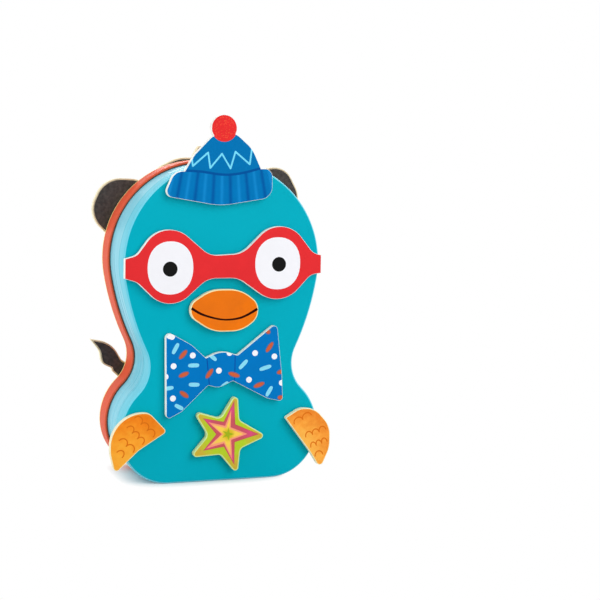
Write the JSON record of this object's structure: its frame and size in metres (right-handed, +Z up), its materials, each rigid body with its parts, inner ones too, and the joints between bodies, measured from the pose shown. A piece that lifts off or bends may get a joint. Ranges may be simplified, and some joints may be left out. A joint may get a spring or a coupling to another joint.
{
  "type": "magnetic animal puzzle game",
  "caption": "Shaped tin on edge with a press-on lid front and back, each dressed as an animal with flat magnetic wooden pieces that pull off.",
  "frame": {"origin": "middle of the flat base, midway between the two lids' outer faces", "axes": "+Z up, as the tin stands on edge; the front lid faces -Y and the back lid +Y; +X to the right seen from the front"},
  "size_m": [0.1429, 0.0728, 0.2281],
  "materials": {
    "teal_tin": "gloss print on tinplate, with a paler blue rim",
    "yellow_tin": "gloss print on tinplate, with a coral rim",
    "sky_tin": "gloss light blue print on tinplate",
    "magnet_foil": "matt magnetic foil",
    "hat_board": "printed board, satin, with pale bare edges",
    "mask_board": "printed board, satin, with pale bare edges",
    "beak_board": "printed board, satin, with pale bare edges",
    "bow_tie_board": "printed board, satin, with pale bare edges",
    "star_board": "printed board, satin, with pale bare edges",
    "wing_board": "printed board, satin, with pale bare edges",
    "beret_board": "printed board, satin, with pale bare edges",
    "ear_board": "printed board, satin, with pale bare edges",
    "eye_board": "printed board, satin, with pale bare edges",
    "muzzle_board": "printed board, satin, with pale bare edges",
    "cheek_board": "printed board, satin, with pale bare edges",
    "ribbon_board": "printed board, satin, with pale bare edges",
    "paw_board": "printed board, satin, with pale bare edges",
    "brush_board": "printed board, satin, with pale bare edges"
  },
  "bodies": {
    "case": {"case_wall": "sky_tin"},
    "front_lid": {"front_lid": "teal_tin"},
    "back_lid": {"back_lid": "yellow_tin"},
    "beanie": {"beanie": "hat_board", "beanie_foil": "magnet_foil"},
    "mask": {"mask": "mask_board", "mask_foil": "magnet_foil"},
    "beak": {"beak": "beak_board", "beak_foil": "magnet_foil"},
    "bow_tie": {"bow_tie": "bow_tie_board", "bow_tie_foil": "magnet_foil"},
    "star": {"star": "star_board", "star_foil": "magnet_foil"},
    "wing_left": {"wing_left": "wing_board", "wing_left_foil": "magnet_foil"},
    "wing_right": {"wing_right": "wing_board", "wing_right_foil": "magnet_foil"},
    "beret": {"beret": "beret_board", "beret_foil": "magnet_foil"},
    "ear_left": {"ear_left": "ear_board", "ear_left_foil": "magnet_foil"},
    "ear_right": {"ear_right": "ear_board", "ear_right_foil": "magnet_foil"},
    "eye_left": {"eye_left": "eye_board", "eye_left_foil": "magnet_foil"},
    "eye_right": {"eye_right": "eye_board", "eye_right_foil": "magnet_foil"},
    "muzzle": {"muzzle": "muzzle_board", "muzzle_foil": "magnet_foil"},
    "cheek_left": {"cheek_left": "cheek_board", "cheek_left_foil": "magnet_foil"},
    "cheek_right": {"cheek_right": "cheek_board", "cheek_right_foil": "magnet_foil"},
    "ribbon_bow": {"ribbon_bow": "ribbon_board", "ribbon_bow_foil": "magnet_foil"},
    "paw_left": {"paw_left": "paw_board", "paw_left_foil": "magnet_foil"},
    "paw_right": {"paw_right": "paw_board", "paw_right_foil": "magnet_foil"},
    "paintbrush": {"paintbrush": "brush_board", "paintbrush_foil": "magnet_foil"}
  },
  "joints": [
    {"name": "front_lid_off", "type": "slide", "parent": "case", "child": "front_lid", "axis": [0, -1, 0], "range_m": [0, 0.04]},
    {"name": "back_lid_off", "type": "slide", "parent": "case", "child": "back_lid", "axis": [0, 1, 0], "range_m": [0, 0.04]},
    {"name": "beanie_off", "type": "slide", "parent": "front_lid", "child": "beanie", "axis": [0, -1, 0], "range_m": [0, 0.03]},
    {"name": "mask_off", "type": "slide", "parent": "front_lid", "child": "mask", "axis": [0, -1, 0], "range_m": [0, 0.03]},
    {"name": "beak_off", "type": "slide", "parent": "front_lid", "child": "beak", "axis": [0, -1, 0], "range_m": [0, 0.03]},
    {"name": "bow_tie_off", "type": "slide", "parent": "front_lid", "child": "bow_tie", "axis": [0, -1, 0], "range_m": [0, 0.03]},
    {"name": "star_off", "type": "slide", "parent": "front_lid", "child": "star", "axis": [0, -1, 0], "range_m": [0, 0.03]},
    {"name": "wing_left_off", "type": "slide", "parent": "front_lid", "child": "wing_left", "axis": [0, -1, 0], "range_m": [0, 0.03]},
    {"name": "wing_right_off", "type": "slide", "parent": "front_lid", "child": "wing_right", "axis": [0, -1, 0], "range_m": [0, 0.03]},
    {"name": "beret_off", "type": "slide", "parent": "back_lid", "child": "beret", "axis": [0, 1, 0], "range_m": [0, 0.03]},
    {"name": "ear_left_off", "type": "slide", "parent": "back_lid", "child": "ear_left", "axis": [0, 1, 0], "range_m": [0, 0.03]},
    {"name": "ear_right_off", "type": "slide", "parent": "back_lid", "child": "ear_right", "axis": [0, 1, 0], "range_m": [0, 0.03]},
    {"name": "eye_left_off", "type": "slide", "parent": "back_lid", "child": "eye_left", "axis": [0, 1, 0], "range_m": [0, 0.03]},
    {"name": "eye_right_off", "type": "slide", "parent": "back_lid", "child": "eye_right", "axis": [0, 1, 0], "range_m": [0, 0.03]},
    {"name": "muzzle_off", "type": "slide", "parent": "back_lid", "child": "muzzle", "axis": [0, 1, 0], "range_m": [0, 0.03]},
    {"name": "cheek_left_off", "type": "slide", "parent": "back_lid", "child": "cheek_left", "axis": [0, 1, 0], "range_m": [0, 0.03]},
    {"name": "cheek_right_off", "type": "slide", "parent": "back_lid", "child": "cheek_right", "axis": [0, 1, 0], "range_m": [0, 0.03]},
    {"name": "ribbon_bow_off", "type": "slide", "parent": "back_lid", "child": "ribbon_bow", "axis": [0, 1, 0], "range_m": [0, 0.03]},
    {"name": "paw_left_off", "type": "slide", "parent": "back_lid", "child": "paw_left", "axis": [0, 1, 0], "range_m": [0, 0.03]},
    {"name": "paw_right_off", "type": "slide", "parent": "back_lid", "child": "paw_right", "axis": [0, 1, 0], "range_m": [0, 0.03]},
    {"name": "paintbrush_off", "type": "slide", "parent": "back_lid", "child": "paintbrush", "axis": [0, 1, 0], "range_m": [0, 0.03]}
  ]
}
